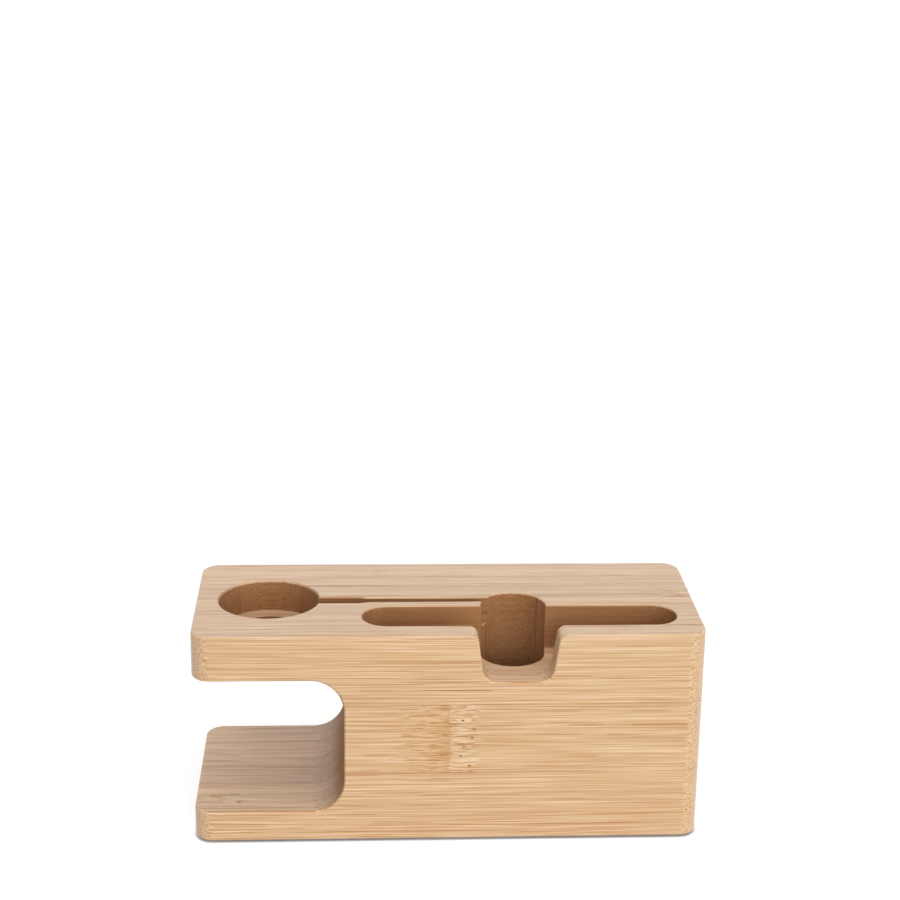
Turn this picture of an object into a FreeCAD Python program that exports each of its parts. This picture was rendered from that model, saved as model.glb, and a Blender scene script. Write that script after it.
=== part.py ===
import FreeCAD, Part
import Sketcher
import math
import os

# Charging stand of laminated bamboo. A block is glued up from three boards, and each board from strips on
# edge. The block is then machined: a phone slot with a finger notch on the right, and on the left a gap that
# leaves two arms, the upper one with a round seat for a watch charger. Anti-slip pads sit under the base.
# Millimetres. +X to the right, +Y to the back, +Z up. The origin is under the block, at the pads' soles.

os.makedirs("parts", exist_ok=True)
doc = FreeCAD.newDocument("ChargingStand")

# Driving dimensions
SIZES = {
    # Strips and boards of the glued block
    "strip_thickness": 5.46,
    "board_thickness": 20.3,
    "corner_radius": 5.2,
    "edge_round": 0.6,
    "rim_ease": 0.4,
    # Lower arm, and the gap that a watch strap hangs in
    "lower_arm_thickness": 8.8,
    "gap_corner_radius": 9.2,
    # Round seat of the watch charger in the upper arm, and the hole that pushes it out
    "seat_diameter": 28.0,
    "seat_depth": 9.0,
    "seat_ledge": 4.0,
    "seat_end_wall": 6.2,
    "seat_inner_wall": 7.0,
    "push_hole_diameter": 18.0,
    # Phone slot
    "slot_left_wall": 5.1,
    "slot_length": 87.2,
    "slot_right_wall": 6.5,
    "slot_front_wall": 7.3,
    "slot_width": 14.0,
    "slot_sill": 1.0,
    # Finger notch in the front wall of the slot
    "notch_depth": 13.7,
    "notch_floor_width": 18.4,
    "notch_mouth_width": 22.3,
    "notch_offset": 1.3,
    "notch_corner_radius": 4.0,
    "notch_lip_radius": 2.5,
    # Slit for the charger's cord, wider where it leaves the seat, with a taper between
    "slit_wall": 3.6,
    "slit_width": 3.0,
    "slit_depth": 8.0,
    "relief_width": 4.4,
    "relief_length": 13.7,
    "relief_taper": 2.4,
    # Well and groove that take the cords down and out at the back
    "well_diameter": 18.0,
    "groove_width": 12.0,
    "groove_height": 10.0,
    # Anti-slip pads
    "pad_diameter": 10.0,
    "pad_thickness": 1.0,
    "pad_recess": 0.5,
    "pad_clearance": 0.2,
    "pad_end_inset": 13.0,
    "pad_side_inset": 11.0,
    # How far a cut or a rough blank runs past the finished block
    "overrun": 2.0,
}
BOARDS = ("base", "middle", "top")
STRIPS = 10
# The cord well is drilled on a glue line, with this many strips in front of it
FRONT_STRIP_COUNT = 4

sheet = doc.addObject("Spreadsheet::Sheet", "Sizes")
for row, (alias, value) in enumerate(SIZES.items(), start=1):
    sheet.set(f"A{row}", alias)
    sheet.set(f"B{row}", str(value))
    sheet.setAlias(f"B{row}", alias)
doc.recompute()

# Places that follow from the driving dimensions, as expressions in the block's own frame
ARM_LENGTH = "(Sizes.seat_end_wall + Sizes.seat_diameter + Sizes.seat_inner_wall)"
SLOT_SPAN = "(Sizes.slot_left_wall + Sizes.slot_length + Sizes.slot_right_wall)"
LENGTH = f"({ARM_LENGTH} + {SLOT_SPAN})"
DEPTH = f"({STRIPS} * Sizes.strip_thickness)"
HEIGHT = f"({len(BOARDS)} * Sizes.board_thickness)"
UNDERSIDE = "(Sizes.pad_thickness - Sizes.pad_recess)"
LEFT, RIGHT = f"(-{LENGTH} / 2)", f"({LENGTH} / 2)"
FRONT, BACK = f"(-{DEPTH} / 2)", f"({DEPTH} / 2)"
UPPER_ARM_THICKNESS = "(Sizes.seat_depth + Sizes.seat_ledge)"
SEAT_X = f"({LEFT} + Sizes.seat_end_wall + Sizes.seat_diameter / 2)"
SLOT_END_RADIUS = "(Sizes.slot_width / 2)"
SLOT_X = f"({RIGHT} - Sizes.slot_right_wall - Sizes.slot_length / 2)"
SLOT_Y = f"({FRONT} + Sizes.slot_front_wall + {SLOT_END_RADIUS})"
SLOT_END_REACH = f"(Sizes.slot_length / 2 - {SLOT_END_RADIUS})"
NOTCH_X = f"({SLOT_X} - Sizes.notch_offset)"
NOTCH_FLOOR = f"({HEIGHT} - Sizes.notch_depth)"
NOTCH_FLARE = "(Sizes.notch_mouth_width - Sizes.notch_floor_width)"
NOTCH_CUT_WIDTH = f"(Sizes.notch_mouth_width + {NOTCH_FLARE} * Sizes.overrun / Sizes.notch_depth)"
SLIT_Y = f"({SLOT_Y} + {SLOT_END_RADIUS} + Sizes.slit_wall + Sizes.slit_width / 2)"
RELIEF_END = f"({SEAT_X} + Sizes.seat_diameter / 2 + Sizes.relief_length)"
WELL_Y = f"({FRONT} + {FRONT_STRIP_COUNT} * Sizes.strip_thickness)"
PAD_X = f"({RIGHT} - Sizes.pad_end_inset)"
PAD_Y = f"({BACK} - Sizes.pad_side_inset)"

# A bevel that narrows as it goes down, in degrees
BEVEL_ANGLE = -45

# How a sketch numbers the ends of a line or arc, its centre, and its own origin
START_INDEX = 1
END_INDEX = 2
CENTRE_INDEX = 3
ORIGIN_INDEXES = (-1, START_INDEX)
ROUNDING = 1e-4

block = doc.addObject("PartDesign::Body", "Block")
block.setExpression("Placement.Base.z", UNDERSIDE)


def same(first, second):
    return abs(first - second) < ROUNDING


def new_sketch(name, role, offset="0"):
    """A sketch on one of the block's origin planes, moved along that plane's normal."""
    plane = next(f for f in block.Origin.OriginFeatures if f.Role == role)
    sketch = block.newObject("Sketcher::SketchObject", name)
    sketch.AttachmentSupport = (plane, [""])
    sketch.MapMode = "FlatFace"
    sketch.setExpression("AttachmentOffset.Base.z", offset)
    return sketch


def bind(sketch, expression, drawn, kind, *geometry):
    """Dimension a shape that was drawn at unit size, then bind the dimension to an expression."""
    index = sketch.addConstraint(Sketcher.Constraint(kind, *geometry, drawn))
    sketch.setExpression(f"Constraints[{index}]", expression)


def pin(sketch, geometry, end, drawn, across, up):
    """Hold a drawn point at a place measured from the sketch's origin."""
    bind(sketch, across, drawn.x, "DistanceX", *ORIGIN_INDEXES, geometry, end)
    bind(sketch, up, drawn.y, "DistanceY", *ORIGIN_INDEXES, geometry, end)


def draw_polygon(sketch, corners):
    """A closed outline with straight sides. Each corner is a pair of expressions."""
    count = len(corners)
    turn = 2 * math.pi / count
    drawn = [FreeCAD.Vector(math.cos(turn * n), math.sin(turn * n), 0) for n in range(count)]
    for n in range(count):
        sketch.addGeometry(Part.LineSegment(drawn[n], drawn[(n + 1) % count]))
    for n in range(count):
        sketch.addConstraint(Sketcher.Constraint("Coincident", n, END_INDEX, (n + 1) % count, START_INDEX))
    for n, (across, up) in enumerate(corners):
        pin(sketch, n, START_INDEX, drawn[n], across, up)


def draw_rectangle(sketch, left, right, low, high):
    draw_polygon(sketch, [(left, low), (right, low), (right, high), (left, high)])


def draw_circle(sketch, across, up, diameter):
    centre = FreeCAD.Vector(0, 0, 0)
    circle = sketch.addGeometry(Part.Circle(centre, FreeCAD.Vector(0, 0, 1), 1))
    pin(sketch, circle, CENTRE_INDEX, centre, across, up)
    bind(sketch, diameter, 2, "Diameter", circle)


def draw_round_ended_slot(sketch, across, up, reach, radius):
    """Two straight sides and two half circles, whose centres lie at the reach on either side."""
    normal = FreeCAD.Vector(0, 0, 1)
    east, west = FreeCAD.Vector(1, 0, 0), FreeCAD.Vector(-1, 0, 0)
    quarter = math.pi / 2
    front_side = sketch.addGeometry(Part.LineSegment(FreeCAD.Vector(-1, -1, 0), FreeCAD.Vector(1, -1, 0)))
    east_end = sketch.addGeometry(Part.ArcOfCircle(Part.Circle(east, normal, 1), -quarter, quarter))
    back_side = sketch.addGeometry(Part.LineSegment(FreeCAD.Vector(1, 1, 0), FreeCAD.Vector(-1, 1, 0)))
    west_end = sketch.addGeometry(Part.ArcOfCircle(Part.Circle(west, normal, 1), quarter, 3 * quarter))
    outline = (front_side, east_end, back_side, west_end)
    for piece, following in zip(outline, outline[1:] + outline[:1]):
        sketch.addConstraint(Sketcher.Constraint("Tangent", piece, END_INDEX, following, START_INDEX))
    sketch.addConstraint(Sketcher.Constraint("Horizontal", front_side))
    sketch.addConstraint(Sketcher.Constraint("Horizontal", back_side))
    bind(sketch, radius, 1, "Radius", east_end)
    pin(sketch, east_end, CENTRE_INDEX, east, f"{across} + {reach}", up)
    bind(sketch, f"{across} - {reach}", west.x, "DistanceX", *ORIGIN_INDEXES, west_end, CENTRE_INDEX)


def cut(sketch, length, side="One side", backwards=False, taper=0):
    """Pocket a sketch into the block, and make sure that it removed something."""
    before = block.Tip.Shape.Volume
    pocket = block.newObject("PartDesign::Pocket", sketch.Name.replace("Sketch", "Cut"))
    pocket.Profile = sketch
    pocket.SideType = side
    pocket.Reversed = backwards
    pocket.TaperAngle = taper
    pocket.setExpression("Length", length)
    doc.recompute()
    if not pocket.Shape.Volume < before:
        raise RuntimeError(f"{pocket.Name} removed nothing")


def cut_bevelled(name, depth, draw):
    """Cut down from the top face, then bevel the rim. draw takes a sketch and how far to widen the shape."""
    shape_sketch = new_sketch(f"{name}Sketch", "XY_Plane", HEIGHT)
    draw(shape_sketch, "0")
    cut(shape_sketch, depth)
    rim_sketch = new_sketch(f"{name}RimSketch", "XY_Plane", HEIGHT)
    draw(rim_sketch, "Sizes.rim_ease")
    cut(rim_sketch, "Sizes.rim_ease", taper=BEVEL_ANGLE)


def round_edges(name, radius, wanted):
    """Fillet the edges that the test picks. Edges that run on smoothly from them follow."""
    base = block.Tip
    edges = [f"Edge{n}" for n, edge in enumerate(base.Shape.Edges, start=1) if wanted(edge.BoundBox)]
    fillet = block.newObject("PartDesign::Fillet", name)
    fillet.Base = (base, edges)
    fillet.setExpression("Radius", radius)
    doc.recompute()


# Block with rounded upright corners
outline_sketch = new_sketch("OutlineSketch", "XY_Plane")
draw_rectangle(outline_sketch, LEFT, RIGHT, FRONT, BACK)
pad = block.newObject("PartDesign::Pad", "BlockPad")
pad.Profile = outline_sketch
pad.setExpression("Length", HEIGHT)
doc.recompute()
whole = pad.Shape.BoundBox
round_edges("CornerRounds", "Sizes.corner_radius", lambda edge: same(edge.ZLength, whole.ZLength))

# Gap between the arms, open at the left end, the front and the back
gap_sketch = new_sketch("GapSketch", "XZ_Plane")
gap_ceiling = f"{HEIGHT} - {UPPER_ARM_THICKNESS}"
draw_rectangle(gap_sketch, f"{LEFT} - Sizes.overrun", f"{LEFT} + {ARM_LENGTH}",
               "Sizes.lower_arm_thickness", gap_ceiling)
cut(gap_sketch, f"{DEPTH} + 2 * Sizes.overrun", side="Symmetric")
gap_wall = gap_sketch.Shape.BoundBox.XMax
round_edges("GapCorners", "Sizes.gap_corner_radius", lambda edge: same(edge.YLength, whole.YLength))

# Finger notch, cut from the middle of the slot out to the front
notch_sketch = new_sketch("NotchSketch", "XZ_Plane", f"-{SLOT_Y}")
draw_polygon(notch_sketch, [
    (f"{NOTCH_X} - Sizes.notch_floor_width / 2", NOTCH_FLOOR),
    (f"{NOTCH_X} + Sizes.notch_floor_width / 2", NOTCH_FLOOR),
    (f"{NOTCH_X} + {NOTCH_CUT_WIDTH} / 2", f"{HEIGHT} + Sizes.overrun"),
    (f"{NOTCH_X} - {NOTCH_CUT_WIDTH} / 2", f"{HEIGHT} + Sizes.overrun"),
])
cut(notch_sketch, f"{SLOT_Y} - {FRONT} + Sizes.overrun", backwards=True)
notch = notch_sketch.Shape.BoundBox


def runs_through_notch(edge):
    return same(edge.YMin, whole.YMin) and same(edge.YMax, notch.YMax) and same(edge.XLength, 0)


round_edges("NotchCorners", "Sizes.notch_corner_radius",
            lambda edge: runs_through_notch(edge) and same(edge.ZMin, notch.ZMin))
round_edges("NotchLips", "Sizes.notch_lip_radius",
            lambda edge: runs_through_notch(edge) and same(edge.ZMin, whole.ZMax))


# Eased outer edges: underside, top with the notch, and the gap
def starts_outer_edge(edge):
    at_back = same(edge.YMin, whole.YMax)
    level = same(edge.ZMax, whole.ZMin) or same(edge.ZMin, whole.ZMax)
    upright_in_gap = same(edge.XMin, gap_wall) and same(edge.XMax, gap_wall)
    return at_back and (level or upright_in_gap)


round_edges("OuterEdges", "Sizes.edge_round", starts_outer_edge)

# Phone slot with an eased rim
slot_sketch = new_sketch("SlotSketch", "XY_Plane", HEIGHT)
draw_round_ended_slot(slot_sketch, SLOT_X, SLOT_Y, SLOT_END_REACH, SLOT_END_RADIUS)
cut(slot_sketch, "Sizes.notch_depth + Sizes.slot_sill")
slot = slot_sketch.Shape.BoundBox
round_edges("SlotRim", "Sizes.rim_ease",
            lambda edge: same(edge.ZMin, whole.ZMax) and same(edge.YMin, slot.YMax))


def draw_seat(sketch, wider):
    draw_circle(sketch, SEAT_X, "0", f"Sizes.seat_diameter + 2 * {wider}")


def draw_relief(sketch, wider):
    half = f"(Sizes.relief_width / 2 + {wider})"
    end_half = f"(Sizes.slit_width / 2 + {wider})"
    shoulder = f"({RELIEF_END} - Sizes.relief_taper)"
    draw_polygon(sketch, [
        (SEAT_X, f"{SLIT_Y} - {half}"),
        (shoulder, f"{SLIT_Y} - {half}"),
        (RELIEF_END, f"{SLIT_Y} - {end_half}"),
        (RELIEF_END, f"{SLIT_Y} + {end_half}"),
        (shoulder, f"{SLIT_Y} + {half}"),
        (SEAT_X, f"{SLIT_Y} + {half}"),
    ])


def draw_slit(sketch, wider):
    half = f"(Sizes.slit_width / 2 + {wider})"
    draw_rectangle(sketch, SEAT_X, NOTCH_X, f"{SLIT_Y} - {half}", f"{SLIT_Y} + {half}")


def draw_well(sketch, wider):
    draw_circle(sketch, NOTCH_X, WELL_Y, f"Sizes.well_diameter + 2 * {wider}")


# Seat of the watch charger, with a ledge round the hole below it
cut_bevelled("Seat", "Sizes.seat_depth", draw_seat)
push_hole_sketch = new_sketch("PushHoleSketch", "XY_Plane", HEIGHT)
draw_circle(push_hole_sketch, SEAT_X, "0", "Sizes.push_hole_diameter")
cut(push_hole_sketch, f"{UPPER_ARM_THICKNESS} + Sizes.overrun")

# Cord slit from the seat, and the well and groove that lead down and out at the back
cut_bevelled("Relief", "Sizes.slit_depth", draw_relief)
cut_bevelled("Slit", "Sizes.slit_depth", draw_slit)
cut_bevelled("Well", f"{HEIGHT} + Sizes.overrun", draw_well)
groove_sketch = new_sketch("GrooveSketch", "XY_Plane", "-Sizes.overrun")
draw_rectangle(groove_sketch, f"{NOTCH_X} - Sizes.groove_width / 2", f"{NOTCH_X} + Sizes.groove_width / 2",
               WELL_Y, f"{BACK} + Sizes.overrun")
cut(groove_sketch, "Sizes.groove_height + Sizes.overrun", backwards=True)

# Recesses for the pads
PAD_PLACES = {
    "front_left_pad": (f"(-{PAD_X})", f"(-{PAD_Y})"),
    "front_right_pad": (PAD_X, f"(-{PAD_Y})"),
    "rear_left_pad": (f"(-{PAD_X})", PAD_Y),
    "rear_right_pad": (PAD_X, PAD_Y),
}
recess_sketch = new_sketch("RecessSketch", "XY_Plane", "-Sizes.overrun")
for across, up in PAD_PLACES.values():
    draw_circle(recess_sketch, across, up, "Sizes.pad_diameter + 2 * Sizes.pad_clearance")
cut(recess_sketch, "Sizes.pad_recess + Sizes.overrun", backwards=True)

nodes = []


def add_strip(board, level, lane):
    """One bamboo strip: the part of the machined block that lies within a rough blank."""
    name = f"{board}_strip_{lane + 1:02d}"
    below = "Sizes.overrun" if level == 0 else "0"
    above = "Sizes.overrun" if level == len(BOARDS) - 1 else "0"
    ahead = "Sizes.overrun" if lane == 0 else "0"
    behind = "Sizes.overrun" if lane == STRIPS - 1 else "0"
    blank = doc.addObject("Part::Box", f"{name}_blank")
    blank.setExpression("Length", f"{LENGTH} + 2 * Sizes.overrun")
    blank.setExpression("Width", f"Sizes.strip_thickness + {ahead} + {behind}")
    blank.setExpression("Height", f"Sizes.board_thickness + {below} + {above}")
    blank.setExpression("Placement.Base.x", f"{LEFT} - Sizes.overrun")
    blank.setExpression("Placement.Base.y", f"{FRONT} + {lane} * Sizes.strip_thickness - {ahead}")
    blank.setExpression("Placement.Base.z", f"{UNDERSIDE} + {level} * Sizes.board_thickness - {below}")
    strip = doc.addObject("Part::Common", name)
    strip.Base = block
    strip.Tool = blank
    strip.Label = name
    nodes.append(strip)


def add_pad(name, across, up):
    sole = doc.addObject("Part::Cylinder", name)
    sole.setExpression("Radius", "Sizes.pad_diameter / 2")
    sole.setExpression("Height", "Sizes.pad_thickness")
    sole.setExpression("Placement.Base.x", across)
    sole.setExpression("Placement.Base.y", up)
    sole.Label = name
    nodes.append(sole)


for level, board in enumerate(BOARDS):
    for lane in range(STRIPS):
        add_strip(board, level, lane)
for name, (across, up) in PAD_PLACES.items():
    add_pad(name, across, up)
doc.recompute()

# Nothing is written unless every object is sound
for item in doc.Objects:
    if "Invalid" in item.State or "Error" in item.State:
        raise RuntimeError(f"{item.Name} failed: {item.State}")
for node in nodes:
    if node.Shape.isNull() or not node.Shape.isValid() or not node.Shape.Solids:
        raise RuntimeError(f"{node.Label} has no sound solid")
for node in nodes:
    node.Shape.exportStep(f"parts/{node.Label}.step")
    print(f"{node.Label}: {len(node.Shape.Solids)} solid, {node.Shape.Volume:.1f} mm3")
strips = nodes[:len(BOARDS) * STRIPS]
print(f"block {block.Shape.Volume:.1f} mm3, its strips {sum(s.Shape.Volume for s in strips):.1f} mm3")
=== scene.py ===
# Looks of a laminated bamboo charging stand: finishes, floor, light and camera around its fixed frame.
import math
import random

import bpy
from mathutils import Matrix, Vector


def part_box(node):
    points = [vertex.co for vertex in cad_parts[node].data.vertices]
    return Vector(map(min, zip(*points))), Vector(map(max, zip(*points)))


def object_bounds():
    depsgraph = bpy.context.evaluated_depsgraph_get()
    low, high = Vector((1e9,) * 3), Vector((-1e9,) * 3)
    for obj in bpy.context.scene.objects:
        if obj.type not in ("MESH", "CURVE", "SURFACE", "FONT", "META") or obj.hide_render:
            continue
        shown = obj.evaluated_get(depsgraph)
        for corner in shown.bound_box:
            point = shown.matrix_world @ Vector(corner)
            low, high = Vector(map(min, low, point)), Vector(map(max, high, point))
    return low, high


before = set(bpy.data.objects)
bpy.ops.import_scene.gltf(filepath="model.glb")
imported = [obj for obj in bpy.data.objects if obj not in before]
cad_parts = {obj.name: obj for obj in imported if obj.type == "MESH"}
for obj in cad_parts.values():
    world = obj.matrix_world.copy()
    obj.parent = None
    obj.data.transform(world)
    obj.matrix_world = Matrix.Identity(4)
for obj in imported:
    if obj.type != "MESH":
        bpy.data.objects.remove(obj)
CAD_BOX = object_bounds()
MM = 0.001
PER_METRE = 1000.0

# Pieces of the stand: the boards from below, the strips of a board from the front, and the pads
BOARDS = ("base", "middle", "top")
LANES = 10
PADS = ("front_left_pad", "front_right_pad", "rear_left_pad", "rear_right_pad")

# Camera, as the view in the photograph: place in metres, angles in radians, focal length in pixels
CAMERA_PLACE = Vector((-26.862, -491.728, 260.059)) * MM
CAMERA_YAW = math.radians(3.189)
CAMERA_PITCH = math.radians(17.453)
CAMERA_ROLL = math.radians(0.876)
FOCAL_PIXELS = 1873.95
PICTURE_PIXELS = 900
SENSOR_WIDTH_MM = 36.0

# A value named RAMP is a smooth step: where it starts, where it ends, and its levels there. With two numbers
# only, the levels are 0 and 1 or are given where the ramp is used

# Light, in metres. A level or strength of 1 is white
AMBIENT_STRENGTH = 0.34
BACKGROUND_STRENGTH = 1.0
SOFTBOX_WIDTH = 1.8
SOFTBOX_HEIGHT = 1.2
SOFTBOX_DISTANCE = 2.2
SOFTBOX_TARGET = Vector((0, 0, 0.03))
# Each softbox: its direction in degrees, round the stand from the front and above the floor, and its level
SOFTBOXES = {
    "front_softbox": (14, 14, 0.60),
    "top_softbox": (0, 75, 0.34),
    "side_softbox": (75, 15, 0.12),
    "back_softbox": (185, 6, 0.28),
}

# Floor, in metres: what is added to make it white, by distance, and less where the stand all but touches it
FLOOR_HALF_SIZE = 12.0
FLOOR_COLOUR = (0.45, 0.45, 0.45, 1)
LIFT_RAMP = (0.2, 1.2, 0.74, 0.90)
CONTACT_REACH = 1.05 * MM
CONTACT_SAMPLES = 4
CONTACT_RAMP = (0.4, 1.0, 0.1, 1.0)

# Noise: its middle, and its layers of detail where it is usual, soft and mottled
NOISE_MIDDLE = 0.5
NOISE_DETAIL = 2.0
SOFT_DETAIL = 1.0
MOTTLE_DETAIL = 4.0

# Grain of the bamboo, in millimetres. Each strip's grain is shifted by chance, up to this far along each axis
GRAIN_SEED = 7
GRAIN_SHIFT = 500.0
# How the grain leaves the straight line
WANDER = 0.5
WANDER_LENGTH = 80.0
WANDER_WIDTH = 25.0
TILT_SHARE = 0.006
# Rods of fibre along X: dark ones that come and go, dark ones that run on, and pale ones
ROD_LENGTH = 350.0
ROD_SCATTER = 1.0
BUNDLE_SPACING = 0.50
LONG_BUNDLE_SPACING = 1.0
BUNDLE_CORE = 0.08
BUNDLE_EDGE = 0.21
FIBRE_SPACING = 0.42
FIBRE_CORE = 0.06
FIBRE_EDGE = 0.18
PALE_SPACING = 0.42
PALE_SHIFT = (77.0, 33.0, 55.0)
# How strongly the faintest and the strongest of the rods show
BUNDLE_SHARES = (0.2, 0.75)
LONG_BUNDLE_SHARES = (0.25, 0.7)
FIBRE_SHARES = (0.3, 0.75)
PALE_SHARES = (0.25, 0.85)
# Where the rods show along their length, and where they are dense
BREAK_LENGTH = 18.0
BREAK_WIDTH = 0.45
BREAK_RAMP = (0.42, 0.55)
LONG_BREAK_RAMP = (0.6, 0.4, 0.35, 1.0)
PALE_BREAK_RAMP = (0.38, 0.58, 0.15, 1.0)
DENSITY_RAMP = (0.35, 0.6, 0.85, 1.0)
# How strongly the rods show at the inner side of the stem's wall, and how much paler the wood is there
INNER_SHARE = 0.5
INNER_PALE_SHARE = 0.4
# How many of the inner strips turn the outer side of the stem's wall to the front
OUTER_FRONT_SHARE = 0.5
# How much more the rods show on level faces, which cut the strips' edges
LEVEL_GAIN = 1.7
# Wood between the rods: broad bands, tints, and brown and pale streaks
BAND_LENGTH = 140.0
BAND_WIDTH = 5.0
BAND_RAMP = (0.3, 0.7, 0.4, 0.6)
TINT_LENGTH = 120.0
TINT_WIDTH = 1.6
PINK_RAMP = (0.45, 0.7, 0.0, 0.5)
GOLD_RAMP = (0.45, 0.7, 0.0, 0.3)
STREAK_LENGTH = 30.0
STREAK_WIDTH = 0.26
BROWN_STREAK_RAMP = (0.5, 0.75, 0.0, 0.48)
PALE_STREAK_RAMP = (0.5, 0.25, 0.0, 0.85)
# Relief that the grain leaves in the finish: its depth, and the shares of it that rods and streaks have
RELIEF = 0.05
RELIEF_STRENGTH = 0.6
ROD_DEPTH_SHARE = 0.3
STREAK_HEIGHT_SHARE = 0.5

# Glue between strips, in millimetres
GLUE_EDGE = 0.20
GLUE_CORE = 0.06
GLUE_BREAK_LENGTH = 22.0
GLUE_BREAK_RAMP = (0.35, 0.65, 0.15, 0.85)

# Node of the stem, in millimetres: how far before and past its ring it shows at all and in full, and how
# far chance moves that
NODE_RISE = 18.0
NODE_RISE_FULL = 6.0
NODE_FALL = 9.0
NODE_FALL_FULL = 4.5
RISE_REACH = 30.0
FALL_REACH = 14.0
# A surface that faces along X is a sawn end
SAWN_RAMP = (0.9, 0.5)
RING_WIDTH = 0.4
RING_RAG = 2.4
RING_RAG_WIDTH = 1.1
# Waves, streaks and patches of its wood
KNOT_WAVE = 0.38
KNOT_WAVE_LENGTH = 8.0
KNOT_WAVE_WIDTH = 2.5
KNOT_STREAK_LENGTH = 6.0
KNOT_STREAK_WIDTH = 0.38
DARK_STREAK_RAMP = (0.5, 0.64, 0.0, 0.75)
THIN_STREAK_RAMP = (0.54, 0.66, 0.0, 0.8)
IVORY_STREAK_RAMP = (0.47, 0.36, 0.0, 0.8)
PATCH_LENGTH = 6.0
PATCH_WIDTH = 1.1
IVORY_PATCH_RAMP = (0.52, 0.64, 0.0, 0.75)
ORANGE_PATCH_RAMP = (0.51, 0.38, 0.0, 0.8)
COLLAR_PATCH_RAMP = (0.6, 0.45)
COLLAR_WIDTH = 3.5
COLLAR_SHARE = 0.58
# How golden the wood is before the ring, how much ivory shows there, and how much of the rods is left
NODE_GOLD_SHARE = 0.4
NODE_IVORY_SHARE = 0.2
NODE_ROD_SHARE = 0.4
# Nodes: the strip, the ring's place along X, the axis that its pores spread along, and how strongly it shows
NODES = {
    "middle_strip_01": (0.2, "Z", 0.85),
    "base_strip_02": (-62.5, "Y", 1.0),
    "top_strip_06": (66.0, "Y", 1.0),
    "top_strip_09": (-18.0, "Y", 0.4),
    "base_strip_10": (37.0, "Z", 0.9),
    "middle_strip_10": (-14.0, "Z", 0.9),
}
# Pores past the ring of a node, in millimetres
PORE_LENGTH = 0.55
PORE_WIDTH = 0.30
PORE_RAMP = (1.2, 0.1)
PORE_SPACING = 2.5
PORE_REACHES = (2.5, 7.0)
FEWEST_PORES = 2
# Pores of the node on the front: from its ring, from the strip's lower edge, and how dark
FRONT_NODE_STRIP = "middle_strip_01"
FRONT_PORES = (
    (3.8, 19.7, 0.6),
    (3.5, 15.7, 1.0),
    (6.3, 15.7, 0.5),
    (6.6, 13.0, 0.8),
    (6.1, 10.5, 1.0),
    (3.8, 7.8, 0.7),
    (3.0, 5.0, 1.0),
    (5.5, 2.0, 1.0),
)

# Cut walls, in millimetres: how high the pockets start, and how far inside the ends and the sides they lie
POCKET_FLOOR = 48.1
END_INSET = 5.0
SIDE_INSET = 7.0
CUT_FADE = 1.0
# How far along X the gap between the arms reaches, in millimetres
GAP_REACH = -15.0
# The well that is bored through the block, in millimetres
WELL_AXIS = (18.6, -5.46, 0.0)
WELL_RADIUS = 9.0
WELL_MARGIN = 0.1

# Colours of the bamboo, linear
PALE_TAN = (0.82, 0.560, 0.325)
WARM_TAN = (0.73, 0.445, 0.215)
PINK_TAN = (0.77, 0.500, 0.310)
GOLD_TAN = (0.74, 0.470, 0.205)
PALE_FIBRE = (0.95, 0.715, 0.470)
BUNDLE_BROWN = (0.46, 0.165, 0.020)
GLUE_BROWN = (0.46, 0.200, 0.060)
IVORY = (0.92, 0.700, 0.465)
KNOT_ORANGE = (0.60, 0.290, 0.085)
PORE_BROWN = (0.26, 0.080, 0.008)
# Tints of the cut walls, which are darker partly in their own cut tone and partly as painted shade in the
# pockets, the gap and the well, and of the strips' edges and ends, which are less orange than their flat
# sides
CUT_TONE_AND_SHADE_TINT = (0.48, 0.36, 0.27)
# The edges' and ends' tint is partly their own paler tone and partly a painted sheen
EDGE_TONE_AND_SHEEN_TINT = (0.99, 1.02, 1.13)
# How far the strips at the faces and the strips between them differ in tone
FACE_SPREAD_SHARE = 0.04
INNER_SPREAD_SHARE = 0.08
# Strips that are darker than the others in the photograph, as a share of their tone
STRIP_TONE_SHARES = {"base_strip_01": 0.97, "top_strip_01": 0.94}

# Oil finish: how much of it the sanded faces and the cut walls hold, and how rough they are
COAT_SHARE = 0.7
CUT_COAT_SHARE = 0.05
COAT_ROUGHNESS = 0.3
SANDED_ROUGHNESS = 0.5
ROD_ROUGHNESS = 0.6
CUT_ROUGHNESS = 0.85
SPECULAR_LEVEL = 0.35

# Rubber of the pads: linear colours, and lengths in millimetres
RUBBER_DARK = (0.009, 0.009, 0.010)
RUBBER_PALE = (0.022, 0.022, 0.023)
RUBBER_MOTTLE = 0.9
RUBBER_RAMP = (0.3, 0.7)
RUBBER_ROUGHNESS = (0.75, 0.9)
RUBBER_RELIEF = 0.04
RUBBER_RELIEF_STRENGTH = 0.5


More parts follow.
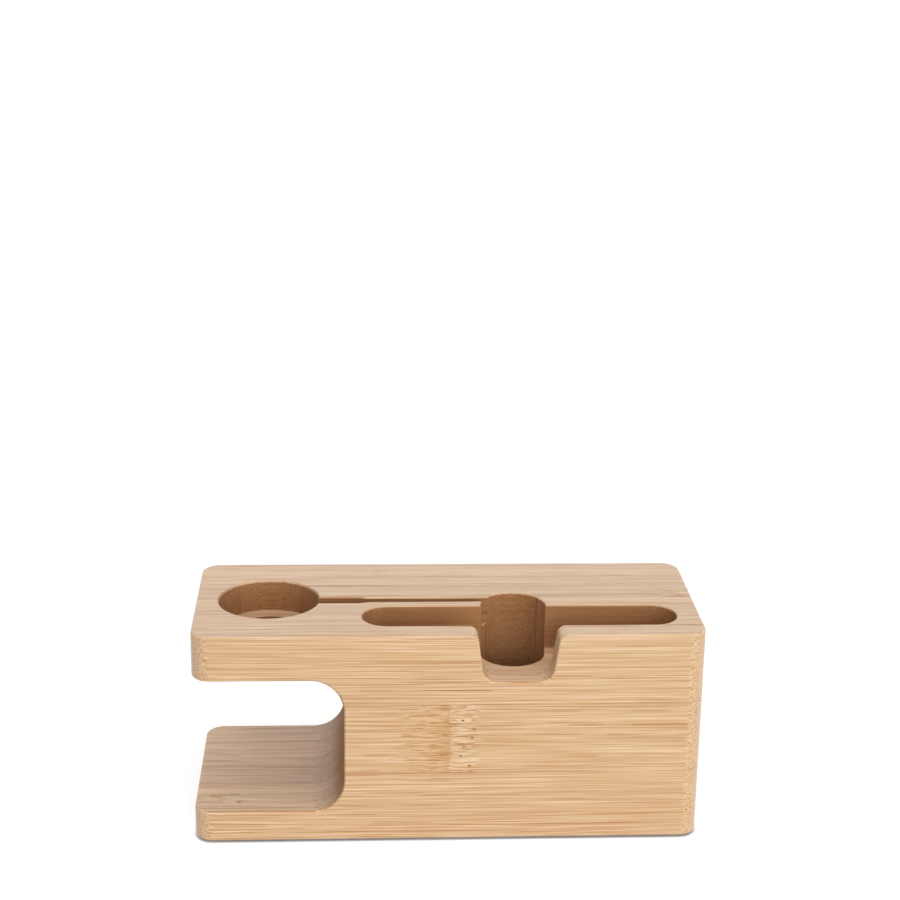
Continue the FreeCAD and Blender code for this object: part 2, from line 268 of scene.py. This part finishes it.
class Shader:
    """A material's node tree, with short calls for the nodes that the finishes use."""

    def __init__(self, name):
        self.material = bpy.data.materials.new(name)
        self.material.use_nodes = True
        self.tree = self.material.node_tree

    def feed(self, socket, value):
        if isinstance(value, bpy.types.NodeSocket):
            self.tree.links.new(value, socket)
        else:
            socket.default_value = value

    def finish(self, inputs):
        """Links or sets inputs of the surface, and gives the finished material."""
        surface = self.tree.nodes["Principled BSDF"]
        for name, value in inputs.items():
            self.feed(surface.inputs[name], value)
        return self.material

    def node(self, kind, inputs, **settings):
        made = self.tree.nodes.new(kind)
        for name, value in settings.items():
            setattr(made, name, value)
        for key, value in inputs.items():
            self.feed(made.inputs[key], value)
        return made

    def math(self, operation, *values):
        return self.node("ShaderNodeMath", dict(enumerate(values)), operation=operation).outputs[0]

    def product(self, first, *others):
        for other in others:
            first = self.math("MULTIPLY", first, other)
        return first

    def largest(self, first, *others):
        for other in others:
            first = self.math("MAXIMUM", first, other)
        return first

    def vector(self, operation, *values):
        return self.node("ShaderNodeVectorMath", dict(enumerate(values)), operation=operation).outputs[0]

    def length(self, vector):
        return self.node("ShaderNodeVectorMath", {0: vector}, operation="LENGTH").outputs["Value"]

    def parts(self, vector):
        """The three parts of a vector or colour."""
        return self.node("ShaderNodeSeparateXYZ", {0: vector}).outputs

    def ramp(self, value, start, end, low=0.0, high=1.0):
        """A smooth step from low, where value is at start, to high, where it is at end."""
        inputs = {"Value": value, "From Min": start, "From Max": end, "To Min": low, "To Max": high}
        return self.node("ShaderNodeMapRange", inputs, interpolation_type="SMOOTHSTEP").outputs["Result"]

    def mix(self, share, first, second, blend="MIX"):
        made = self.node("ShaderNodeMix", {}, data_type="RGBA", blend_type=blend)
        inputs = {"Factor": share, "A": first, "B": second}
        for socket in made.inputs:
            if socket.enabled and socket.name in inputs:
                value = inputs[socket.name]
                self.feed(socket, (*value, 1) if isinstance(value, tuple) else value)
        return next(socket for socket in made.outputs if socket.enabled)

    def noise(self, place, detail=NOISE_DETAIL, output="Fac"):
        inputs = {"Vector": place, "Scale": 1.0, "Detail": detail}
        return self.node("ShaderNodeTexNoise", inputs).outputs[output]

    def cells(self, place):
        inputs = {"Vector": place, "Scale": 1.0, "Randomness": ROD_SCATTER}
        return self.node("ShaderNodeTexVoronoi", inputs).outputs

    def bump(self, height, strength, depth):
        """The surface's direction where it has a relief, with its depth in millimetres."""
        inputs = {"Strength": strength, "Distance": depth * MM, "Height": height}
        return self.node("ShaderNodeBump", inputs).outputs["Normal"]

    def place(self):
        """Where a point of the surface lies in its object's own frame, in metres."""
        return self.node("ShaderNodeTexCoord", {}).outputs["Object"]

    def place_in_mm(self):
        return self.vector("MULTIPLY", self.place(), (PER_METRE,) * 3)

    def stretch(self, place, length, width):
        return self.vector("MULTIPLY", place, (1 / length, 1 / width, 1 / width))

    def sway(self, place, length, width, reach):
        """A shift across X that changes slowly from place to place, up to the reach either way."""
        shift = self.noise(self.stretch(place, length, width), output="Color")
        shift = self.vector("SUBTRACT", shift, (NOISE_MIDDLE,) * 3)
        return self.vector("MULTIPLY", shift, (0, 2 * reach, 2 * reach))


def add_camera():
    """A level camera turned by its yaw, tipped down by its pitch and then rolled."""
    forward = Vector((
        math.sin(CAMERA_YAW) * math.cos(CAMERA_PITCH),
        math.cos(CAMERA_YAW) * math.cos(CAMERA_PITCH),
        -math.sin(CAMERA_PITCH),
    ))
    level_right = Vector((math.cos(CAMERA_YAW), -math.sin(CAMERA_YAW), 0))
    level_up = level_right.cross(forward)
    right = math.cos(CAMERA_ROLL) * level_right + math.sin(CAMERA_ROLL) * level_up
    up = right.cross(forward)
    data = bpy.data.cameras.new("camera")
    data.sensor_width = SENSOR_WIDTH_MM
    data.lens = FOCAL_PIXELS / PICTURE_PIXELS * SENSOR_WIDTH_MM
    camera = bpy.data.objects.new("camera", data)
    turn = Matrix((right, up, -forward)).transposed().to_4x4()
    camera.matrix_world = Matrix.Translation(CAMERA_PLACE) @ turn
    bpy.context.scene.collection.objects.link(camera)
    bpy.context.scene.camera = camera


def seen_directly(tree):
    """1 for rays that show the surroundings, seen, mirrored or through glass, and 0 for rays that light."""
    path = tree.nodes.new("ShaderNodeLightPath")
    total = path.outputs["Is Camera Ray"]
    for name in ("Is Glossy Ray", "Is Transmission Ray"):
        either = tree.nodes.new("ShaderNodeMath")
        either.operation = "MAXIMUM"
        tree.links.new(total, either.inputs[0])
        tree.links.new(path.outputs[name], either.inputs[1])
        total = either.outputs[0]
    return total


def add_world():
    """White all round to look at, and a weaker even light on the object."""
    world = bpy.data.worlds.new("studio")
    world.use_nodes = True
    bpy.context.scene.world = world
    tree = world.node_tree
    strength = tree.nodes.new("ShaderNodeMapRange")
    strength.inputs["To Min"].default_value = AMBIENT_STRENGTH
    strength.inputs["To Max"].default_value = BACKGROUND_STRENGTH
    tree.links.new(seen_directly(tree), strength.inputs["Value"])
    background = tree.nodes["Background"]
    background.inputs["Color"].default_value = (1, 1, 1, 1)
    tree.links.new(strength.outputs["Result"], background.inputs["Strength"])


def add_floor():
    """A floor that throws little light back and looks white: what the lamps leave short is added to it."""
    mesh = bpy.data.meshes.new("floor")
    half = FLOOR_HALF_SIZE
    corners = [(-half, -half, 0), (half, -half, 0), (half, half, 0), (-half, half, 0)]
    mesh.from_pydata(corners, [], [(0, 1, 2, 3)])
    floor = bpy.data.objects.new("floor", mesh)
    bpy.context.scene.collection.objects.link(floor)
    shader = Shader("floor_white")
    lift = shader.ramp(shader.length(shader.place()), *LIFT_RAMP)
    # Where the stand all but touches the floor, the floor keeps its shade
    around = {"Distance": CONTACT_REACH}
    openness = shader.node("ShaderNodeAmbientOcclusion", around, samples=CONTACT_SAMPLES).outputs["AO"]
    lift = shader.product(lift, shader.ramp(openness, *CONTACT_RAMP), seen_directly(shader.tree))
    mesh.materials.append(shader.finish({
        "Base Color": FLOOR_COLOUR,
        "Roughness": 1.0,
        "Specular IOR Level": 0.0,
        "Emission Color": (1, 1, 1, 1),
        "Emission Strength": lift,
    }))


def add_softbox(name, azimuth, elevation, level):
    """A wide lamp aimed at the stand."""
    data = bpy.data.lights.new(name, "AREA")
    data.shape = "RECTANGLE"
    data.size = SOFTBOX_WIDTH
    data.size_y = SOFTBOX_HEIGHT
    # An area lamp of power P gives P / (pi * d * d) straight ahead, and pi times a level lights white to it
    data.energy = level * math.pi * math.pi * SOFTBOX_DISTANCE ** 2
    lamp = bpy.data.objects.new(name, data)
    round_by = math.radians(azimuth)
    up_by = math.radians(elevation)
    toward = Vector((
        math.sin(round_by) * math.cos(up_by),
        -math.cos(round_by) * math.cos(up_by),
        math.sin(up_by),
    ))
    lamp.location = SOFTBOX_TARGET + toward * SOFTBOX_DISTANCE
    lamp.rotation_euler = toward.to_track_quat("Z", "Y").to_euler()
    lamp.visible_camera = False
    lamp.visible_glossy = False
    bpy.context.scene.collection.objects.link(lamp)


def toned(colour, tone):
    return tuple(part * tone for part in colour)


def grain_place(shader, place, dice):
    """The strip's own stretch of stem: shifted by chance, with fibres that run a little off straight."""
    own = shader.vector("ADD", place, tuple(dice.uniform(-GRAIN_SHIFT, GRAIN_SHIFT) for _ in range(3)))
    bends = shader.sway(own, WANDER_LENGTH, WANDER_WIDTH, WANDER)
    along = shader.parts(place)["X"]
    slope = shader.node("ShaderNodeCombineXYZ", {
        "Y": shader.product(along, dice.uniform(-TILT_SHARE, TILT_SHARE)),
        "Z": shader.product(along, dice.uniform(-TILT_SHARE, TILT_SHARE)),
    }).outputs[0]
    return shader.vector("ADD", shader.vector("ADD", own, bends), slope)


def rods(shader, grain, spacing, core, edge, shares):
    """Rods of fibre along X, each fainter or stronger by chance, as a mark from 0 to 1."""
    cells = shader.cells(shader.stretch(grain, ROD_LENGTH, spacing))
    mark = shader.ramp(cells["Distance"], edge / spacing, core / spacing)
    chance = shader.parts(cells["Color"])["X"]
    return shader.product(mark, shader.ramp(chance, 0.0, 1.0, *shares))


def rod_breaks(shader, grain):
    """Noise that says where along their length the rods show."""
    return shader.noise(shader.stretch(grain, BREAK_LENGTH, BREAK_WIDTH), SOFT_DETAIL)


def fibre_marks(shader, grain, density, wall):
    """All the dark rods of a strip: fewer where density is low and at the inner side of the stem's wall."""
    bundles = rods(shader, grain, BUNDLE_SPACING, BUNDLE_CORE, BUNDLE_EDGE, BUNDLE_SHARES)
    fibres = rods(shader, grain, FIBRE_SPACING, FIBRE_CORE, FIBRE_EDGE, FIBRE_SHARES)
    long_bundles = rods(shader, grain, LONG_BUNDLE_SPACING, BUNDLE_CORE, BUNDLE_EDGE, LONG_BUNDLE_SHARES)
    breaks = rod_breaks(shader, grain)
    broken = shader.product(shader.largest(bundles, fibres), shader.ramp(breaks, *BREAK_RAMP))
    running = shader.product(long_bundles, shader.ramp(breaks, *LONG_BREAK_RAMP))
    marks = shader.product(shader.largest(broken, running), shader.ramp(density, *DENSITY_RAMP))
    return shader.product(marks, shader.ramp(wall, 0.0, 1.0, INNER_SHARE, 1.0))


def stem_ground(shader, grain, tints, streak, tone):
    """The wood between the dark rods: bands, tints, brown and pale streaks, and pale rods."""
    band = shader.noise(shader.stretch(grain, BAND_LENGTH, BAND_WIDTH))
    ground = shader.mix(shader.ramp(band, *BAND_RAMP), toned(PALE_TAN, tone), toned(WARM_TAN, tone))
    ground = shader.mix(shader.ramp(tints["X"], *PINK_RAMP), ground, toned(PINK_TAN, tone))
    ground = shader.mix(shader.ramp(tints["Y"], *GOLD_RAMP), ground, toned(GOLD_TAN, tone))
    ground = shader.mix(shader.ramp(streak, *BROWN_STREAK_RAMP), ground, BUNDLE_BROWN)
    ground = shader.mix(shader.ramp(streak, *PALE_STREAK_RAMP), ground, PALE_FIBRE)
    pale_grain = shader.vector("ADD", grain, PALE_SHIFT)
    pale = rods(shader, pale_grain, PALE_SPACING, FIBRE_CORE, FIBRE_EDGE, PALE_SHARES)
    pale = shader.product(pale, shader.ramp(rod_breaks(shader, pale_grain), *PALE_BREAK_RAMP))
    return shader.mix(pale, ground, PALE_FIBRE)


def facing_parts(shader):
    """How squarely a surface faces along each axis, from 0 to 1."""
    normal = shader.node("ShaderNodeNewGeometry", {}).outputs["Normal"]
    return shader.parts(shader.vector("ABSOLUTE", normal))


def glue_mark(shader, place, glue_planes):
    """Thin broken lines where the strip meets its neighbours. A plane is an axis and a place along it."""
    parts = shader.parts(place)
    nearest = None
    for axis, at in glue_planes:
        gap = shader.math("ABSOLUTE", shader.math("SUBTRACT", parts[axis], at))
        nearest = gap if nearest is None else shader.math("MINIMUM", nearest, gap)
    line = shader.ramp(nearest, GLUE_EDGE, GLUE_CORE)
    breaks = shader.noise(shader.stretch(place, GLUE_BREAK_LENGTH, GLUE_BREAK_LENGTH))
    return shader.product(line, shader.ramp(breaks, *GLUE_BREAK_RAMP))


def node_mark(shader, place, grain, ground, marks, ring_at, strength):
    """A stem node: short streaks that end at a ragged ring, then pale patches between orange ones."""
    rag = shader.noise(shader.stretch(place, NODE_RISE, RING_RAG_WIDTH))
    rag = shader.math("SUBTRACT", rag, NOISE_MIDDLE)
    past = shader.math("SUBTRACT", shader.parts(place)["X"], ring_at)
    past = shader.math("MULTIPLY_ADD", rag, 2 * RING_RAG, past)
    wavy = shader.vector("ADD", grain, shader.sway(grain, KNOT_WAVE_LENGTH, KNOT_WAVE_WIDTH, KNOT_WAVE))
    patches = shader.noise(shader.stretch(wavy, PATCH_LENGTH, PATCH_WIDTH))
    streaks = shader.noise(shader.stretch(wavy, KNOT_STREAK_LENGTH, KNOT_STREAK_WIDTH), SOFT_DETAIL)
    # The streaks and patches do not all end at the same place
    chance = shader.math("SUBTRACT", patches, NOISE_MIDDLE)
    start = shader.math("MULTIPLY_ADD", chance, RISE_REACH, past)
    end = shader.math("MULTIPLY_ADD", chance, -FALL_REACH, past)
    start = shader.ramp(start, -NODE_RISE, -NODE_RISE_FULL)
    end = shader.ramp(end, NODE_FALL, NODE_FALL_FULL)
    # They run along the strip, so its sawn ends do not show them
    shown = shader.ramp(facing_parts(shader)["X"], *SAWN_RAMP, 0.0, strength)
    before = shader.product(start, shown, shader.ramp(past, RING_WIDTH, 0.0))
    after = shader.product(end, shown, shader.ramp(past, 0.0, RING_WIDTH))
    # Golden wood up to an orange collar at the ring, and orange and ivory patches past it
    ground = shader.mix(shader.product(before, NODE_GOLD_SHARE), ground, GOLD_TAN)
    collar = shader.product(before, shader.ramp(past, -COLLAR_WIDTH, 0.0, 0.0, COLLAR_SHARE))
    collar = shader.product(collar, shader.ramp(patches, *COLLAR_PATCH_RAMP))
    orange = shader.product(after, shader.ramp(patches, *ORANGE_PATCH_RAMP))
    ground = shader.mix(shader.largest(collar, orange), ground, KNOT_ORANGE)
    ivory = shader.largest(shader.ramp(patches, *IVORY_PATCH_RAMP), shader.ramp(streaks, *IVORY_STREAK_RAMP))
    ivory = shader.product(shader.math("MULTIPLY_ADD", before, NODE_IVORY_SHARE, after), ivory)
    ground = shader.mix(ivory, ground, IVORY)
    # The node's own dark streaks take the place of most of the rods
    dark = shader.product(before, shader.ramp(streaks, *DARK_STREAK_RAMP))
    thin = shader.product(after, shader.ramp(streaks, *THIN_STREAK_RAMP))
    zone = shader.largest(before, after)
    kept = shader.product(marks, shader.ramp(zone, 0.0, 1.0, 1.0, NODE_ROD_SHARE))
    return ground, shader.largest(kept, dark, thin)


def pore_mark(shader, place, pores, spread_axis):
    """Small dark pits. A pore is a place along X, one along the other axis of its face, and a darkness."""
    parts = shader.parts(place)
    darkest = 0.0
    for along, across, darkness in pores:
        far_along = shader.math("DIVIDE", shader.math("SUBTRACT", parts["X"], along), PORE_LENGTH)
        far_across = shader.math("DIVIDE", shader.math("SUBTRACT", parts[spread_axis], across), PORE_WIDTH)
        far = shader.math("ADD", shader.math("POWER", far_along, 2.0), shader.math("POWER", far_across, 2.0))
        darkest = shader.largest(darkest, shader.ramp(far, *PORE_RAMP, 0.0, darkness))
    return darkest


def cut_and_shade_mark(shader, place):
    """1 on the walls of pockets, gaps and the well, which are tinted darker, partly for the cutter's darker
    tone and partly as painted shade, and 0 on sanded faces.
    """
    facing = facing_parts(shader)
    far = shader.parts(shader.vector("ABSOLUTE", place))
    parts = shader.parts(place)
    end_start = CAD_BOX[1].x * PER_METRE - END_INSET
    side_start = CAD_BOX[1].y * PER_METRE - SIDE_INSET
    off_ends = shader.ramp(far["X"], end_start, end_start - CUT_FADE)
    off_sides = shader.ramp(far["Y"], side_start, side_start - CUT_FADE)
    high = shader.ramp(parts["Z"], POCKET_FLOOR, POCKET_FLOOR + CUT_FADE)
    steep = shader.math("SUBTRACT", 1.0, facing["Z"])
    pocket = shader.product(steep, off_sides, high)
    gap = shader.product(facing["X"], shader.ramp(parts["X"], GAP_REACH, GAP_REACH - CUT_FADE))
    wall = shader.product(shader.largest(gap, pocket), off_ends)
    from_axis = shader.vector("MULTIPLY", shader.vector("SUBTRACT", place, WELL_AXIS), (1, 1, 0))
    well = shader.ramp(shader.length(from_axis), WELL_RADIUS + 2 * WELL_MARGIN, WELL_RADIUS + WELL_MARGIN)
    return shader.largest(wall, well)


def bamboo(name, dice, stem_sides, glue_planes, tone, node=None, pores=()):
    """One strip's bamboo, as a solid pattern that shows lines along the strip and dots across it."""
    shader = Shader(name)
    place = shader.place_in_mm()
    grain = grain_place(shader, place, dice)
    tints = shader.noise(shader.stretch(grain, TINT_LENGTH, TINT_WIDTH), SOFT_DETAIL, "Color")
    tints = shader.parts(tints)
    streak = shader.noise(shader.stretch(grain, STREAK_LENGTH, STREAK_WIDTH), SOFT_DETAIL)
    # From the inner side of the stem's wall, 0, to its outer side, 1
    wall = shader.ramp(shader.parts(place)["Y"], *stem_sides)
    facing = facing_parts(shader)
    ground = stem_ground(shader, grain, tints, streak, tone)
    ground = shader.mix(shader.ramp(wall, 0.0, 1.0, INNER_PALE_SHARE, 0.0), ground, toned(PALE_TAN, tone))
    marks = fibre_marks(shader, grain, tints["Z"], wall)
    marks = shader.product(marks, shader.ramp(facing["Z"], 0.0, 1.0, 1.0, LEVEL_GAIN))
    if node:
        ring_at, spread_axis, strength = node
        ground, marks = node_mark(shader, place, grain, ground, marks, ring_at, strength)
    colour = shader.mix(marks, ground, toned(BUNDLE_BROWN, tone))
    height = shader.product(marks, -ROD_DEPTH_SHARE)
    if pores:
        pits = pore_mark(shader, place, pores, spread_axis)
        colour = shader.mix(pits, colour, PORE_BROWN)
        height = shader.math("SUBTRACT", height, pits)
    height = shader.math("MULTIPLY_ADD", streak, STREAK_HEIGHT_SHARE, height)
    colour = shader.mix(glue_mark(shader, place, glue_planes), colour, GLUE_BROWN)
    # Painted sheen, with the edges' own paler tone: faces that do not face along Y are made less orange
    colour = shader.mix(shader.ramp(facing["Y"], 1.0, 0.0), colour, EDGE_TONE_AND_SHEEN_TINT, "MULTIPLY")
    cut_and_shade = cut_and_shade_mark(shader, place)
    # Painted shade, with the cut wood's own darker tone: the walls of pockets, the gap and the well are
    # darkened by the tint
    colour = shader.mix(cut_and_shade, colour, CUT_TONE_AND_SHADE_TINT, "MULTIPLY")
    sanded = shader.ramp(marks, 0.0, 1.0, SANDED_ROUGHNESS, ROD_ROUGHNESS)
    return shader.finish({
        "Base Color": colour,
        "Roughness": shader.largest(sanded, shader.product(cut_and_shade, CUT_ROUGHNESS)),
        "Normal": shader.bump(height, RELIEF_STRENGTH, RELIEF),
        "Coat Weight": shader.ramp(cut_and_shade, 0.0, 1.0, COAT_SHARE, CUT_COAT_SHARE),
        "Coat Roughness": COAT_ROUGHNESS,
        "Specular IOR Level": SPECULAR_LEVEL,
    })


def rubber(name):
    """Matt dark rubber, mottled and slightly rough."""
    shader = Shader(name)
    mottle = shader.stretch(shader.place_in_mm(), RUBBER_MOTTLE, RUBBER_MOTTLE)
    mottle = shader.noise(mottle, MOTTLE_DETAIL)
    return shader.finish({
        "Base Color": shader.mix(shader.ramp(mottle, *RUBBER_RAMP), RUBBER_DARK, RUBBER_PALE),
        "Roughness": shader.ramp(mottle, *RUBBER_RAMP, *RUBBER_ROUGHNESS),
        "Normal": shader.bump(mottle, RUBBER_RELIEF_STRENGTH, RUBBER_RELIEF),
    })


def node_pores(name, dice):
    """Where a strip's node has its pores: listed on the front, by chance elsewhere."""
    ring_at, spread_axis, strength = NODES[name]
    low, high = (getattr(corner, spread_axis.lower()) * PER_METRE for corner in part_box(name))
    if name == FRONT_NODE_STRIP:
        return [(ring_at + past, low + up, darkness) for past, up, darkness in FRONT_PORES]
    count = max(FEWEST_PORES, round((high - low) / PORE_SPACING))
    return [(ring_at + dice.uniform(*PORE_REACHES), dice.uniform(low, high), strength) for _ in range(count)]


def wear(piece, finish):
    """Gives a piece its finish."""
    piece.data.materials.clear()
    piece.data.materials.append(finish)


def wall_sides(piece, lane, dice):
    """The inner and outer side of a strip's stem wall, along Y. At the faces, the outer side is out."""
    low, high = (corner.y * PER_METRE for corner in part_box(piece.name))
    outer_in_front = lane == 1 or (lane < LANES and dice.random() < OUTER_FRONT_SHARE)
    return (high, low) if outer_in_front else (low, high)


def strip_glue_planes(board, lane):
    """Where one strip is glued to the strips around it, in millimetres."""
    low, high = (corner * PER_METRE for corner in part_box(f"{board}_strip_{lane:02d}"))
    planes = []
    if lane > 1:
        planes.append(("Y", low.y))
    if lane < LANES:
        planes.append(("Y", high.y))
    if board != BOARDS[0]:
        planes.append(("Z", low.z))
    if board != BOARDS[-1]:
        planes.append(("Z", high.z))
    return planes


add_camera()
bpy.context.scene.view_settings.view_transform = "Standard"
add_world()
add_floor()
for name, (azimuth, elevation, level) in SOFTBOXES.items():
    add_softbox(name, azimuth, elevation, level)
dice = random.Random(GRAIN_SEED)
for board in BOARDS:
    for lane in range(1, LANES + 1):
        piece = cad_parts[f"{board}_strip_{lane:02d}"]
        spread_share = FACE_SPREAD_SHARE if lane in (1, LANES) else INNER_SPREAD_SHARE
        tone = 1 + spread_share * dice.uniform(-1, 1)
        tone *= STRIP_TONE_SHARES.get(piece.name, 1.0)
        node = NODES.get(piece.name)
        pores = node_pores(piece.name, dice) if node else []
        stem_sides = wall_sides(piece, lane, dice)
        glue_planes = strip_glue_planes(board, lane)
        finish = bamboo(f"bamboo_{piece.name}", dice, stem_sides, glue_planes, tone, node, pores)
        wear(piece, finish)
pad_rubber = rubber("pad_rubber")
for pad in PADS:
    wear(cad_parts[pad], pad_rubber)
